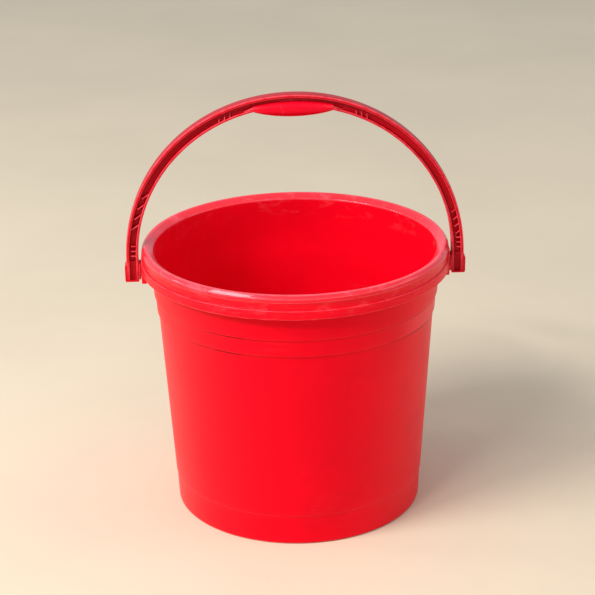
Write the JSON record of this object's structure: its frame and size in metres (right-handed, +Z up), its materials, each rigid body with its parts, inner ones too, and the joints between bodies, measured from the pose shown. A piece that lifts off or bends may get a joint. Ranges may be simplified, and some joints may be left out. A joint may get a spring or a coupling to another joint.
{
  "type": "bucket with bail handle",
  "caption": "Tapered round plastic bucket with a rolled, skirted rim and a ribbed arched bail handle with a palm grip, swinging on two snap pins.",
  "frame": {"origin": "centre of the foot, on the plane the bucket stands on", "axes": "+Z up along the bucket's axis; X along the handle's pivot axis; Y across it, front towards -Y"},
  "size_m": [0.32, 0.2904, 0.4005],
  "materials": {
    "tub_plastic": "semi-gloss saturated red, scuffed paler on the rim",
    "handle_plastic": "semi-gloss red, edges worn paler",
    "grip_plastic": "smooth gloss red, hand-polished",
    "pin_plastic": "semi-gloss red"
  },
  "bodies": {
    "tub": {"tub": "tub_plastic"},
    "handle": {"bail_handle": "handle_plastic", "palm_grip": "grip_plastic", "pivot_pin_left": "pin_plastic", "pivot_pin_right": "pin_plastic"}
  },
  "joints": [
    {"name": "handle_swing", "type": "hinge", "parent": "tub", "child": "handle", "pos_m": [0, 0, 0.233], "axis": [1, 0, 0], "range_deg": [-114, 114]}
  ]
}
